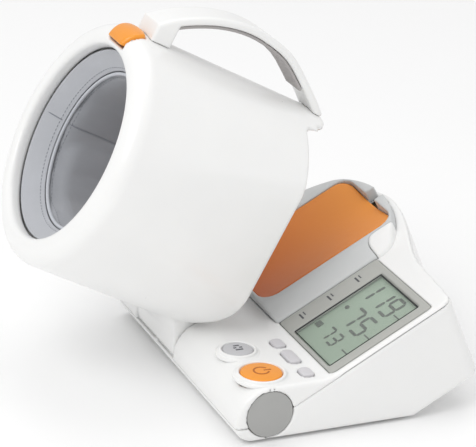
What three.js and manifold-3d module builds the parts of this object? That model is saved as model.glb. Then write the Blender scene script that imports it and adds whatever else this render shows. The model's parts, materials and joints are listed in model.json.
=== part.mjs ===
// Desktop arm-in blood pressure monitor: a cuff barrel that tilts on a hinged, wedge-shaped base.
// Millimetres, +Z up, +Y away from the user, +X to the user's right.
// Everything is laid out from the tilt axis, and the whole is then stood on z = 0.

import * as THREE from 'three';
import { mergeVertices } from 'three/addons/utils/BufferGeometryUtils.js';
import Module from 'manifold-3d';

const wasm = await Module();
wasm.setup();

// ---------------------------------------------------------------- driving dimensions
const GAP = 0.35;                 // clearance between pieces that touch
const SLIP = 1.0;                 // clearance round a piece that moves

const BARREL_R = 86.3;            // outside radius of the barrel
const BARREL_WALL = 3;            // wall of the barrel shell
const BARREL_CLEAR = 1.7;         // barrel's underside above the tilt axis
const AXIS_LIFT = BARREL_R + BARREL_CLEAR;
const ENTRY_L = -150;             // frontmost point of the entry rim, along the barrel axis
const EXIT_L = -11;               // plane of the exit rim
const MOUTH_R = 68.5;             // white lip round the entry
const RIM_ROUND = 12;             // rounding of the entry rim
const REST_TILT = 27.6;           // barrel slope at rest, degrees
const FACET_L = -107;             // where the flat side facets start
const FACET_SLOPE = 6.9;          // facets run in towards the exit, degrees

const TUBE_R = 66;                // inside radius of the arm tube
const TUBE_WALL = 2.5;
const CUFF_R = 51;                // inside radius of the soft cuff
const LINER_T = 2.4;              // fabric liner with its foam
const BLADDER_T = 6.5;            // flat air bladder

const DECK_SLOPE = 28.5;          // slope of the display deck, degrees
const DECK_DROP = 3.3;            // deck surface below the parallel plane through the tilt axis
const DECK_Z = 19;                // height of the level control deck
const BOTTOM_Z = -18;             // underside of the case
const CASE_T = 2.6;               // wall of the case
const CASE_RIGHT = 147.4;         // right wall
const CASE_LEFT = -72;            // left wall at the hinge
const CASE_REAR = 143;            // rear edge of the right-hand side, along the deck
const CRADLE_R = 82;              // round rear of the case, under the barrel
const CASE_DEPTH = 63;            // case thickness square to the deck
const NOSE_R = 24;                // rounded front of the case
const NOSE_DROP = 5;              // nose centre below the tilt axis
const TOE_R = 13;                 // lower front corner
const WALL_LEAN = 24;             // rear wall leans back from the vertical, degrees

const KNUCKLE_R = 23.4;
const KNUCKLE_HALF = 34.5;
const KNUCKLE_REAR = 58;          // the knuckle's outer skin runs from here, degrees from +Y
const LIP_ANGLE = 196;            // down to here, where the case's lip begins
const SKIRT_END = 230;            // a skirt behind the lip keeps the gap shut as it tilts
const SKIRT_R = 20.3;
const CORE_R = 14.3;              // round core of the knuckle
const SHAFT_R = 5;
const BUSH_R = 8;
const CAP_R = 16.2;

const DISPLAY = { x0: 58.9, x1: CASE_RIGHT - 5.5, s0: 48.5, s1: 129.4 };
const GLASS = {
  x0: DISPLAY.x0 + 18.1, x1: DISPLAY.x1 - 8.4,
  s0: DISPLAY.s0 + 3.5, s1: DISPLAY.s1 - 5.9,
};
const DISPLAY_T = 3;              // depth of the display frame
const ELBOW_HALF = 39.5;          // half width of the elbow rest
const ELBOW = { s0: 50, s1: 158 };
const CRADLE_TOP = 6;             // cradle edge above the tilt axis, square to the deck
const CRADLE_INSET = 3;           // cradle's round edge inside the case's
const CRADLE_SINK = 1.2;          // cradle's seat below the deck
const CRADLE_FRONT = ELBOW.s0 - 3.5;
const CRADLE_FLOOR = 1.4;         // cradle under the elbow rest
const DISH_R = 118;               // hollow of the elbow rest
const DISH_DEPTH = 7;

const HANDLE_W = 28;
const HANDLE_FRONT = -134;        // front face of the handle, along the barrel axis
const HANDLE_FOOT = 12;           // length of its front foot
const HANDLE_REAR = 9;
const HANDLE_T = 5.6;             // hard outer strip of the handle
const GRIP_T = 2.2;               // soft strip under it
const TONGUE_HALF = 25;           // half angle of the tongue at the exit rim, degrees
const TONGUE_L = 10;              // where the tongue ends

const LATCH_DROP = 9.8;           // latch rod below the barrel's top
const LATCH_HALF = 4;             // half width of the latch rod
const LATCH_T = 1.5;              // half thickness of the latch rod
const BUTTON_DROP = 14.3;         // floor of the release button's seat below the barrel's top
const SADDLE_R = 17;              // fillet between the barrel's underside and the knuckle
const HOSE = { x: 18, y: -71, r: 2 };

const START = { x: CASE_RIGHT - 21.6, y: 1.7, r: 14 };
const MEMORY = { x: CASE_RIGHT - 58.6, y: 0.6, r: 10.3 };
const COLLAR_W = 2.6;             // raised collar round each round button
const COLLAR_H = 2.2;
const SMALL_Y = 31;
const KEY_HALF_Y = 4.2;
const SMALL_KEYS = [
  { name: 'history_button', x: CASE_RIGHT - 61.2, half: 6 },
  { name: 'select_button', x: CASE_RIGHT - 39.7, half: 9.5 },
  { name: 'clock_button', x: CASE_RIGHT - 15.2, half: 6 },
];
const KEY_DEPTH = 8;

const FOOT_R = 6;
const FOOT_H = 2;
const JACK = { x: CASE_RIGHT - 50.4, z: -34.5, half: 6.5, bore: 4.3 };
const PUMP = { x: -8, s: 86, r: 15 };

// ---------------------------------------------------------------- helpers
const rad = THREE.MathUtils.degToRad;
const SIDES = 64;

const deckFrame = new THREE.Matrix4().makeRotationX(rad(DECK_SLOPE));
const wallFrame = new THREE.Matrix4().makeRotationX(rad(WALL_LEAN));
const barrelFrame = new THREE.Matrix4().makeRotationX(-rad(REST_TILT));
const alongX = new THREE.Matrix4().makeBasis(
  new THREE.Vector3(0, 1, 0), new THREE.Vector3(0, 0, 1), new THREE.Vector3(1, 0, 0));
const axisShift = new THREE.Matrix4().makeTranslation(0, 0, AXIS_LIFT);

function solid(geometry) {
  const bare = geometry.clone();
  for (const key of ['normal', 'uv']) bare.deleteAttribute(key);
  const merged = mergeVertices(bare, 1e-4);
  return new wasm.Manifold(new wasm.Mesh({
    numProp: 3,
    vertProperties: new Float32Array(merged.attributes.position.array),
    triVerts: new Uint32Array(merged.index.array),
  }));
}

function geometryOf(body) {
  const data = body.getMesh();
  const geometry = new THREE.BufferGeometry();
  geometry.setAttribute('position', new THREE.BufferAttribute(new Float32Array(data.vertProperties), 3));
  geometry.setIndex(new THREE.BufferAttribute(new Uint32Array(data.triVerts), 1));
  geometry.computeVertexNormals();
  return geometry;
}

function join(...bodies) {
  return bodies.reduce((sum, body) => sum.add(body));
}

function cut(body, ...tools) {
  return tools.reduce((rest, tool) => rest.subtract(tool), body);
}

function outline(points) {
  return new THREE.Shape(points.map(([a, b]) => new THREE.Vector2(a, b)));
}

// A shape drawn in x and y, extruded from z0 to z1.
function slab(shape, z0, z1, curveSegments = 12) {
  const geometry = new THREE.ExtrudeGeometry(shape, { depth: z1 - z0, bevelEnabled: false, curveSegments });
  return geometry.translate(0, 0, z0);
}

// A shape drawn in y and z, extruded from x0 to x1.
function bar(shape, x0, x1, curveSegments = 12) {
  return slab(shape, x0, x1, curveSegments).applyMatrix4(alongX);
}

function block(x0, x1, y0, y1, z0, z1) {
  const geometry = new THREE.BoxGeometry(x1 - x0, y1 - y0, z1 - z0);
  return geometry.translate((x0 + x1) / 2, (y0 + y1) / 2, (z0 + z1) / 2);
}

function rodX(radius, x0, x1, y = 0, z = 0, sides = 32) {
  const geometry = new THREE.CylinderGeometry(radius, radius, x1 - x0, sides);
  return geometry.rotateZ(Math.PI / 2).translate((x0 + x1) / 2, y, z);
}

function rodZ(radius, x, y, z0, z1, sides = 32) {
  const geometry = new THREE.CylinderGeometry(radius, radius, z1 - z0, sides);
  return geometry.rotateX(Math.PI / 2).translate(x, y, (z0 + z1) / 2);
}

// A ring or drum turned about the barrel axis; the profile holds [radius, length] pairs.
function turned(profile, sides = SIDES) {
  const points = profile.map(([r, l]) => new THREE.Vector2(r, l));
  return new THREE.LatheGeometry(points, sides).applyMatrix4(axisShift);
}

function ring(rIn, rOut, l0, l1, sides = SIDES) {
  return turned([[rIn, l0], [rOut, l0], [rOut, l1], [rIn, l1], [rIn, l0]], sides);
}

function drum(r, l0, l1, sides = SIDES) {
  return turned([[0, l0], [r, l0], [r, l1], [0, l1]], sides);
}

function arcPoints(cx, cy, r, from, to, steps) {
  return Array.from({ length: steps + 1 }, (_, i) => {
    const angle = rad(from + (to - from) * i / steps);
    return [cx + r * Math.cos(angle), cy + r * Math.sin(angle)];
  });
}

function roundedBox(x0, x1, y0, y1, r) {
  return outline([
    ...arcPoints(x1 - r, y1 - r, r, 0, 90, 5), ...arcPoints(x0 + r, y1 - r, r, 90, 180, 5),
    ...arcPoints(x0 + r, y0 + r, r, 180, 270, 5), ...arcPoints(x1 - r, y0 + r, r, 270, 360, 5),
  ]);
}

const onDeck = (geometry) => geometry.applyMatrix4(deckFrame);

// ---------------------------------------------------------------- materials
function finish(color, roughness, metalness = 0) {
  return new THREE.MeshStandardMaterial({ color, roughness, metalness });
}

const finishes = {
  shell: () => finish('#f2f2f1', 0.35),
  cover: () => finish('#eeeeed', 0.4),
  cap: () => finish('#ababa9', 0.5),
  orange: () => finish('#f5a033', 0.45),
  elbow: () => finish('#dd7a32', 0.5),
  bezel: () => finish('#b0b1ac', 0.45),
  glass: () => finish('#dfe6df', 0.1),
  lcd: () => finish('#8fa88c', 0.3),
  key: () => finish('#d5d3d6', 0.5),
  grip: () => finish('#b5b1b0', 0.7),
  fabric: () => finish('#b7bac1', 0.95),
  rubber: () => finish('#3b3b3d', 0.85),
  metal: () => finish('#b9bbbe', 0.3, 0.9),
  board: () => finish('#2f6b45', 0.6),
  dark: () => finish('#2a2b2d', 0.6),
};

const group = new THREE.Group();
const base = new THREE.Group();
const barrel = new THREE.Group();
barrel.applyMatrix4(barrelFrame);
group.add(base, barrel);

function piece(parent, name, shape, look) {
  const geometry = shape instanceof THREE.BufferGeometry ? shape : geometryOf(shape);
  const mesh = new THREE.Mesh(geometry, finishes[look]());
  mesh.name = name;
  parent.add(mesh);
  return mesh;
}

// ---------------------------------------------------------------- case outline
const slopeTan = Math.tan(rad(DECK_SLOPE));
const slopeCos = Math.cos(rad(DECK_SLOPE));
const deckHeight = (y, h = -DECK_DROP) => y * slopeTan + h / slopeCos;
const FAR_Y = 230;

// Side view of the case, drawn in from its outside by t.
function caseSide(t) {
  const underside = (y) => deckHeight(y, -DECK_DROP - CASE_DEPTH + t);
  const bottom = BOTTOM_Z + t;
  const toeY = (bottom + (DECK_DROP + CASE_DEPTH - t) / slopeCos) / slopeTan;
  const top = DECK_Z - t;
  const bend = (top + (DECK_DROP + t) / slopeCos) / slopeTan;
  return outline([
    [toeY, bottom],
    [FAR_Y, underside(FAR_Y)],
    [FAR_Y, deckHeight(FAR_Y, -DECK_DROP - t)],
    [bend, top],
    ...arcPoints(0, -NOSE_DROP, NOSE_R - t, 90, 180, 10),
    ...arcPoints(TOE_R - NOSE_R, -NOSE_DROP, TOE_R - t, 180, 270, 6).slice(1),
  ]);
}

// Plan of the case, square to its leaning rear wall, drawn in by t.
function casePlan(t) {
  const right = CASE_RIGHT - t;
  const left = CASE_LEFT + t;
  const r = CRADLE_R - t;
  const leftAngle = Math.acos(left / r);
  const shape = new THREE.Shape();
  shape.moveTo(left, -60);
  shape.lineTo(right, -60);
  const rear = CASE_REAR - t;
  shape.lineTo(right, rear - 8);
  shape.quadraticCurveTo(right, rear, right - 8, rear + 0.8);
  shape.lineTo(CASE_RIGHT - 29.4, rear + 2.6);
  const meet = rad(68);
  shape.bezierCurveTo(CASE_RIGHT - 63.4, rear + 6, CASE_RIGHT - 81.4, AXIS_LIFT + r * 0.75,
    r * Math.cos(meet), AXIS_LIFT + r * Math.sin(meet));
  shape.absarc(0, AXIS_LIFT, r, meet, 2 * Math.PI - leftAngle, false);
  return shape;
}

function caseBody(t) {
  const side = solid(bar(caseSide(t), CASE_LEFT - 30, CASE_RIGHT + 30));
  const plan = solid(slab(casePlan(t), -260, 200, 24).applyMatrix4(wallFrame));
  return side.intersect(plan);
}

// Everything above the parting surface between cover and tray.
const PART_DROP = DECK_DROP + 2.4;
const PART_Z = -8;
const partY = (PART_Z + PART_DROP / slopeCos) / slopeTan;
function abovePart(lift) {
  return solid(bar(outline([
    [-60, PART_Z + lift],
    [partY, PART_Z + lift],
    [FAR_Y + 20, deckHeight(FAR_Y + 20, -PART_DROP) + lift],
    [FAR_Y + 20, 260],
    [-60, 260],
  ]), -150, 250));
}

// Room for the knuckle, open to the front and the top. Angles run from +Y round over the top.
const POCKET_HALF = KNUCKLE_HALF + SLIP;
const POCKET_R = KNUCKLE_R + 1.8;
const wedge = (r, from, to, half) => solid(bar(
  outline([[0, 0], ...arcPoints(0, 0, r, from, to, Math.ceil((to - from) / 7))]), -half, half));
function pocketRoom(grow) {
  const half = POCKET_HALF + Math.min(grow, 1);
  const lip = LIP_ANGLE - grow * 1.5;
  return join(
    solid(rodX(CORE_R + SLIP + grow, -half, half, 0, 0, 40)),
    wedge(POCKET_R + grow, 0, lip + 2, half),
    wedge(SKIRT_R + SLIP + grow, lip, SKIRT_END + 4 + grow, half));
}
const pocket = join(
  pocketRoom(0),
  solid(block(-POCKET_HALF, POCKET_HALF, -60, 0, -6, 60)),
  solid(block(-POCKET_HALF, POCKET_HALF, -60, 16, 4, 60)));

const LATCH_Z = AXIS_LIFT + BARREL_R - LATCH_DROP;
const latchSlot = solid(onDeck(block(-7, 7, LATCH_Z - 7.5, LATCH_Z + 3.2, -20, 20)));

const outer = caseBody(0);
const hollow = caseBody(CASE_T);

// End walls that close the hollow case beside the knuckle.
function endWalls() {
  const wall = (x0, x1) => solid(bar(caseSide(0.1), x0, x1)).intersect(
    solid(block(x0 - 1, x1 + 1, -40, 32, -30, 40)));
  return join(wall(-POCKET_HALF - 3, -POCKET_HALF), wall(POCKET_HALF, POCKET_HALF + 3));
}
const pocketFloor = cut(
  solid(bar(caseSide(CASE_T - 0.2), -POCKET_HALF - 1, POCKET_HALF + 1)).intersect(join(
    pocketRoom(2.2), solid(block(-POCKET_HALF - 1, POCKET_HALF + 1, -18, 6, -18, -11)))),
  pocket);

const bushHole = join(
  solid(rodX(BUSH_R + GAP, -POCKET_HALF - 30, -POCKET_HALF + 1)),
  solid(rodX(BUSH_R + GAP, POCKET_HALF - 1, POCKET_HALF + 30)));
const capHole = join(
  solid(rodX(CAP_R + GAP, CASE_RIGHT - 4, CASE_RIGHT + 20, 0, 0, 48)),
  solid(rodX(CAP_R + GAP, CASE_LEFT - 20, CASE_LEFT + 4, 0, 0, 48)));

// ---------------------------------------------------------------- case
const displayHole = solid(onDeck(block(
  DISPLAY.x0 - GAP, DISPLAY.x1 + GAP, DISPLAY.s0 - GAP, DISPLAY.s1 + GAP, -DECK_DROP - 12, 40)));
const collars = [START, MEMORY].map((b) => solid(
  rodZ(b.r + COLLAR_W, b.x, b.y, DECK_Z - 1, DECK_Z + COLLAR_H, 40)));
const roundHoles = [START, MEMORY].map((b) => solid(
  rodZ(b.r + 0.5, b.x, b.y, 0, DECK_Z + 12, 40)));
const keyPlan = (key, grow) => roundedBox(
  key.x - key.half - grow, key.x + key.half + grow,
  SMALL_Y - KEY_HALF_Y - grow, SMALL_Y + KEY_HALF_Y + grow, 3 + grow);
const keyHoles = SMALL_KEYS.map((key) => solid(slab(keyPlan(key, 0.4), 5, DECK_Z + 8)));

const cradleRight = DISPLAY.x0 + 0.1;   // beside the display frame, before its clearance
const cradleShape = (() => {
  const shape = new THREE.Shape();
  const r = CRADLE_R - CRADLE_INSET;
  const start = Math.asin((CRADLE_FRONT - AXIS_LIFT) / r);
  const end = Math.acos(cradleRight / r);
  shape.moveTo(cradleRight - GAP, CRADLE_FRONT);
  shape.lineTo(cradleRight - GAP, AXIS_LIFT + r * Math.sin(end));
  shape.absarc(0, AXIS_LIFT, r, end, Math.PI - start, false);
  return shape;
})();

const shellWithWalls = join(cut(outer, hollow), endWalls(), pocketFloor);
const cradleSeat = solid(onDeck(slab(cradleShape, -DECK_DROP - CRADLE_SINK, 30, 24)));

const upperCover = cut(
  join(shellWithWalls.intersect(abovePart(GAP / 2)), ...collars),
  pocket, displayHole, bushHole, capHole, latchSlot, cradleSeat, ...roundHoles, ...keyHoles);
piece(base, 'upper_cover', upperCover, 'cover');

// The power socket opens through the leaning rear wall.
const jackWall = CASE_REAR + 4;
const jackHole = solid(new THREE.CylinderGeometry(JACK.bore + 1, JACK.bore + 1, 20, 24)
  .translate(JACK.x, jackWall + 4, JACK.z).applyMatrix4(wallFrame));
const lowerCase = cut(
  cut(shellWithWalls, abovePart(-GAP / 2)),
  pocket, bushHole, capHole, jackHole, latchSlot);
piece(base, 'lower_case', lowerCase, 'cover');

// ---------------------------------------------------------------- cradle and elbow rest
const cradleFloor = -DECK_DROP - CRADLE_SINK + GAP;
const cradleTrim = solid(onDeck(slab(cradleShape, cradleFloor, CRADLE_TOP, 24)));
const flankCuts = [1, -1].map((side) => {
  const crest = ELBOW_HALF + 3;
  const edge = side > 0 ? cradleRight : 4 - CASE_LEFT;
  const fall = (CRADLE_TOP + DECK_DROP) / (edge - crest);
  const top = outline([
    [side * crest, CRADLE_TOP],
    [side * (edge + 20), -DECK_DROP + 0.6 - 20 * fall],
    [side * (edge + 20), 40],
    [side * crest, 40],
  ]);
  const tool = new THREE.ExtrudeGeometry(top, { depth: 220, bevelEnabled: false });
  tool.rotateX(Math.PI / 2).translate(0, 200, 0);
  return solid(onDeck(tool));
});
const elbowPlan = (inset) => roundedBox(
  -ELBOW_HALF + inset, ELBOW_HALF - inset, ELBOW.s0 + inset, ELBOW.s1 - inset, 12 - inset);
const elbowPocket = solid(onDeck(slab(elbowPlan(-GAP), cradleFloor + CRADLE_FLOOR, 40)));
piece(base, 'cradle', cut(cradleTrim, ...flankCuts, elbowPocket, latchSlot), 'cover');

const dish = solid(onDeck(new THREE.CylinderGeometry(DISH_R, DISH_R, 300, 96)
  .translate(0, AXIS_LIFT, CRADLE_TOP + DISH_R - DISH_DEPTH)));
const elbowBody = solid(onDeck(
  slab(elbowPlan(0), cradleFloor + CRADLE_FLOOR + GAP, CRADLE_TOP - 0.3)));
piece(base, 'elbow_rest', cut(elbowBody, dish), 'elbow');

// ---------------------------------------------------------------- display
const frameTop = -DECK_DROP + 0.5;
const bezel = cut(
  solid(onDeck(block(
    DISPLAY.x0, DISPLAY.x1, DISPLAY.s0, DISPLAY.s1, frameTop - DISPLAY_T, frameTop))),
  solid(onDeck(block(GLASS.x0, GLASS.x1, GLASS.s0, GLASS.s1, -40, 40))));
piece(base, 'display_frame', bezel, 'bezel');
piece(base, 'display_window', onDeck(block(
  GLASS.x0 + GAP, GLASS.x1 - GAP, GLASS.s0 + GAP, GLASS.s1 - GAP, frameTop - 2.2, frameTop - 0.8)), 'glass');
piece(base, 'display_panel', onDeck(block(
  GLASS.x0 - 3, GLASS.x1 + 3, GLASS.s0 - 2, GLASS.s1 + 2,
  frameTop - DISPLAY_T - GAP - 2.6, frameTop - DISPLAY_T - GAP)), 'lcd');

// ---------------------------------------------------------------- buttons
function roundButton(name, button, look) {
  const stem = solid(rodZ(4, button.x, button.y, DECK_Z - KEY_DEPTH, DECK_Z - 2.5, 16));
  const head = solid(rodZ(button.r, button.x, button.y, DECK_Z - 3, DECK_Z + COLLAR_H + 0.6, 40));
  piece(base, name, join(head, stem), look);
}
roundButton('start_button', START, 'orange');
roundButton('memory_button', MEMORY, 'key');

for (const key of SMALL_KEYS) {
  const head = solid(slab(keyPlan(key, 0), DECK_Z - 3, DECK_Z + 1.2));
  const stem = solid(rodZ(2.5, key.x, SMALL_Y, DECK_Z - KEY_DEPTH, DECK_Z - 2.5, 12));
  piece(base, key.name, join(head, stem), 'key');
}

// ---------------------------------------------------------------- hinge
const shaftLeft = -POCKET_HALF - 22;
const shaftRight = POCKET_HALF + 22;
piece(base, 'hinge_shaft', rodX(SHAFT_R, shaftLeft, shaftRight, 0, 0, 24), 'metal');
for (const [name, x0, x1] of [
  ['hinge_bush_left', -POCKET_HALF - 18, -POCKET_HALF - 0.2],
  ['hinge_bush_right', POCKET_HALF + 0.2, POCKET_HALF + 18],
]) {
  const bore = solid(rodX(SHAFT_R + 0.3, x0 - 5, x1 + 5));
  piece(base, name, cut(solid(rodX(BUSH_R, x0, x1)), bore), 'dark');
}
piece(base, 'hinge_cap_right', join(
  solid(rodX(CAP_R, CASE_RIGHT - 2.2, CASE_RIGHT, 0, 0, 48)),
  solid(rodX(CAP_R - 6, CASE_RIGHT - 7, CASE_RIGHT - 2, 0, 0, 32))), 'cap');
piece(base, 'hinge_cap_left', join(
  solid(rodX(CAP_R, CASE_LEFT, CASE_LEFT + 2.2, 0, 0, 48)),
  solid(rodX(CAP_R - 6, CASE_LEFT + 2, CASE_LEFT + 7, 0, 0, 32))), 'cap');

// ---------------------------------------------------------------- inside the case
const boardTop = frameTop - DISPLAY_T - 2 * GAP - 2.6 - 6;
piece(base, 'main_board', onDeck(block(
  GLASS.x0 - 12, GLASS.x1 + 4, GLASS.s0 + 2, GLASS.s1 + 4, boardTop - 1.6, boardTop)), 'board');
const pumpAxis = boardTop - 24;
const pumpBody = join(
  solid(rodX(PUMP.r, PUMP.x - 36, PUMP.x + 10, PUMP.s, pumpAxis, 32)),
  solid(block(PUMP.x + 8, PUMP.x + 34, PUMP.s - 14, PUMP.s + 14, pumpAxis - 13, pumpAxis + 13)),
  solid(rodX(2.5, PUMP.x + 32, PUMP.x + 44, PUMP.s, pumpAxis + 6, 12)));
piece(base, 'air_pump', onDeck(geometryOf(pumpBody)), 'metal');
piece(base, 'exhaust_valve', onDeck(rodZ(7, 46, PUMP.s + 34, pumpAxis - 8, pumpAxis + 10, 24)), 'dark');
piece(base, 'pressure_sensor', onDeck(block(
  GLASS.x0 + 7, GLASS.x0 + 21, GLASS.s0 + 14, GLASS.s0 + 26,
  boardTop - 9, boardTop - 1.6 - GAP)), 'dark');

function tube(points, radius, steps, sides = 8) {
  const path = new THREE.CatmullRomCurve3(points.map((p) => new THREE.Vector3(...p)));
  const section = outline(arcPoints(0, 0, radius, 0, 360 - 360 / sides, sides - 1));
  return new THREE.ExtrudeGeometry(section, { extrudePath: path, steps, bevelEnabled: false });
}
piece(base, 'air_hose', onDeck(tube([
  [PUMP.x + 45, PUMP.s, pumpAxis + 6], [PUMP.x + 56, PUMP.s - 3, pumpAxis + 6],
  [PUMP.x + 66, PUMP.s - 18, pumpAxis + 9], [PUMP.x + 74, PUMP.s - 40, pumpAxis + 15],
  [shaftRight + 12, 12, -6], [shaftRight + 5, 3, 0]], 2.5, 20)), 'dark');

const jackBody = cut(
  solid(block(JACK.x - JACK.half, JACK.x + JACK.half, jackWall - 18, jackWall - 5,
    JACK.z - JACK.half, JACK.z + JACK.half)),
  solid(new THREE.CylinderGeometry(JACK.bore, JACK.bore, 20, 20)
    .translate(JACK.x, jackWall - 4, JACK.z)));
piece(base, 'dc_jack', geometryOf(jackBody).applyMatrix4(wallFrame), 'dark');

const footLeft = CASE_LEFT + 16;
const footRight = CASE_RIGHT - 15.4;
const footSpots = [[footLeft, 2], [footRight, 2], [footLeft, 92], [footRight, 92]];
footSpots.forEach(([x, y], i) => piece(
  base, `rubber_foot_${i + 1}`, rodZ(FOOT_R, x, y, BOTTOM_Z - FOOT_H, BOTTOM_Z - GAP, 20), 'rubber'));
const screwLeft = CASE_LEFT + 32;
const screwSpots = [
  [screwLeft, 70], [CASE_RIGHT - 47.4, 70], [screwLeft, 20], [CASE_RIGHT - 29.4, 20]];
screwSpots.forEach(([x, y], i) => piece(
  base, `case_screw_${i + 1}`, rodZ(3, x, y, BOTTOM_Z - 1.2, BOTTOM_Z - GAP, 12), 'metal'));

// ---------------------------------------------------------------- barrel, in its own frame
// y runs along the barrel axis away from the user, z is square to it, both from the tilt axis.
const BARREL_TOP = AXIS_LIFT + BARREL_R;
const TOP = BARREL_TOP + 45;
const sideCut = (inset) => solid(bar(outline([
  [ENTRY_L - 30, -30],
  ...arcPoints(0, 0, KNUCKLE_R + 0.5 + inset, 228, 150, 8),
  [EXIT_L - inset, 26],
  [EXIT_L - inset, TOP],
  [ENTRY_L - 30, TOP],
]), -150, 150));

// The two flat flanks, drawn in by t.
function facets(t) {
  const halfWidth = (l) => BARREL_R - t - (l - FACET_L) * Math.tan(rad(FACET_SLOPE));
  const front = ENTRY_L - 20;
  const back = 60;
  return solid(slab(outline([
    [-halfWidth(front), front], [halfWidth(front), front],
    [halfWidth(back), back], [-halfWidth(back), back],
  ]), -60, TOP));
}

const rimFront = [
  [MOUTH_R, ENTRY_L + 7],
  ...arcPoints(MOUTH_R + 5, ENTRY_L + 6, 5, 190, 262, 3),
  ...arcPoints(BARREL_R - RIM_ROUND, ENTRY_L + RIM_ROUND, RIM_ROUND, 278, 360, 7),
];
const INNER_R = BARREL_R - BARREL_WALL;
const OPEN_L = TONGUE_L + 4;
const shellOuter = solid(turned([
  [0, ENTRY_L + 7], ...rimFront, [BARREL_R, OPEN_L], [0, OPEN_L]])).intersect(facets(0));
const shellInner = join(
  solid(turned([
    [0, ENTRY_L + 11], [MOUTH_R + 10, ENTRY_L + 11], [INNER_R, ENTRY_L + 18],
    [INNER_R, OPEN_L + 5], [0, OPEN_L + 5]])).intersect(facets(BARREL_WALL)),
  solid(drum(MOUTH_R, ENTRY_L - 5, ENTRY_L + 30)));
const tongueHalfX = BARREL_R * Math.sin(rad(TONGUE_HALF));
const tongue = solid(slab(outline([
  [tongueHalfX, EXIT_L - 5], [tongueHalfX, EXIT_L], [tongueHalfX - 12, TONGUE_L],
  [-tongueHalfX + 12, TONGUE_L], [-tongueHalfX, EXIT_L], [-tongueHalfX, EXIT_L - 5],
]), AXIS_LIFT + BARREL_R / 2, TOP));
const keepShell = sideCut(0).add(tongue);
const seatFloor = BARREL_TOP - BUTTON_DROP;
const buttonSeat = solid(block(-15, 15, ENTRY_L - 10, ENTRY_L + 17, seatFloor, TOP));
const rodSlot = solid(block(-9, 9, ENTRY_L + 4, ENTRY_L + 30, LATCH_Z - 3, LATCH_Z + 3));
piece(barrel, 'barrel_shell', cut(
  cut(shellOuter, shellInner).intersect(keepShell), buttonSeat, rodSlot), 'shell');

// Cover over the exit end, following the same cut as the shell.
const exitPlug = solid(drum(INNER_R - GAP, ENTRY_L + 60, 0)).intersect(facets(BARREL_WALL + GAP));
const rodWindow = solid(block(-6, 6, -40, 20, LATCH_Z - 2.5, LATCH_Z + 2.5));
piece(barrel, 'exit_cover', cut(
  sideCut(0.3).intersect(exitPlug), sideCut(2.8), solid(drum(TUBE_R - 3, ENTRY_L, 20)), rodWindow), 'shell');

const innerKeep = sideCut(3.2);
const tubeFront = ENTRY_L + 22;
piece(barrel, 'arm_tube', cut(
  solid(ring(TUBE_R, TUBE_R + TUBE_WALL, tubeFront, 0)).intersect(innerKeep),
  solid(rodZ(HOSE.r + 1.2, HOSE.x, HOSE.y, 5, 40, 16))), 'cover');
piece(barrel, 'liner_ring', cut(
  solid(ring(MOUTH_R + 0.4, INNER_R - 1, tubeFront - 3, tubeFront - GAP)), rodSlot), 'cover');

// Fabric: a funnel-shaped collar from the entry lip to a welt, then the soft cuff on to the exit.
const WELT_R = CUFF_R + 4;
const WELT_L = ENTRY_L + 23;
const collarLine = [
  [MOUTH_R - GAP, ENTRY_L + 8],
  [MOUTH_R - 5, ENTRY_L + 16],
  [WELT_R, WELT_L],
];
const THROAT_L = WELT_L + 5;
const TAIL_L = EXIT_L - 36;
const throatLine = [[WELT_R, WELT_L + GAP], [CUFF_R + 0.3, THROAT_L]];
const cuffLine = [[CUFF_R, THROAT_L + GAP], [CUFF_R, TAIL_L]];
const tailLine = [
  [CUFF_R, TAIL_L + GAP],
  [CUFF_R + 5, EXIT_L - 16],
  [TUBE_R - 4, EXIT_L - 5],
];

// A fabric ring whose inner face follows a line of [radius, length] points, with cloth outside it.
// Its front or its rear edge may be bevelled, to lie against the slanting wall round it.
function fabricRing(line, frontBevel = 0, rearBevel = 0) {
  const outside = line.map(([r, l]) => [r + LINER_T, l]);
  if (frontBevel) outside[0] = [line[0][0], line[0][1] + frontBevel];
  if (rearBevel) {
    const [r, l] = line[line.length - 1];
    outside[line.length - 1] = [r, l - rearBevel];
  }
  return turned([...outside, ...line.slice().reverse(), outside[0]], 48);
}
piece(barrel, 'liner_collar', fabricRing(collarLine, 3.5), 'fabric');
piece(barrel, 'cuff_throat', fabricRing(throatLine), 'fabric');
piece(barrel, 'cuff_liner', fabricRing(cuffLine), 'fabric');
piece(barrel, 'cuff_tail', solid(fabricRing(tailLine, 0, LINER_T)).intersect(sideCut(3.4)), 'fabric');
const bladderIn = CUFF_R + LINER_T + 0.8;
piece(barrel, 'air_bladder', ring(
  bladderIn, bladderIn + BLADDER_T, ENTRY_L + 46, EXIT_L - 42, 48), 'rubber');

// Knuckle that carries the barrel on the hinge shaft, with its saddle under the shell.
const filletZ = BARREL_CLEAR - SADDLE_R;
const filletY = -Math.sqrt((KNUCKLE_R + SADDLE_R) ** 2 - filletZ ** 2);
const filletEnd = THREE.MathUtils.radToDeg(Math.atan2(-filletZ, -filletY));
const saddle = cut(
  solid(bar(outline([
    [0, 12], [filletY, 12],
    ...arcPoints(filletY, filletZ, SADDLE_R, 90, filletEnd, 6),
    [0, 0],
  ]), -KNUCKLE_HALF, KNUCKLE_HALF)),
  solid(drum(BARREL_R + GAP, ENTRY_L, 60, 96)));
piece(barrel, 'hinge_knuckle', cut(
  join(
    solid(rodX(CORE_R, -KNUCKLE_HALF, KNUCKLE_HALF, 0, 0, 40)),
    wedge(KNUCKLE_R, KNUCKLE_REAR + REST_TILT, LIP_ANGLE + REST_TILT, KNUCKLE_HALF),
    wedge(SKIRT_R, LIP_ANGLE + REST_TILT - 4, SKIRT_END + REST_TILT, KNUCKLE_HALF),
    saddle),
  solid(rodX(SHAFT_R + 0.4, -60, 60, 0, 0, 24))), 'shell');

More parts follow.
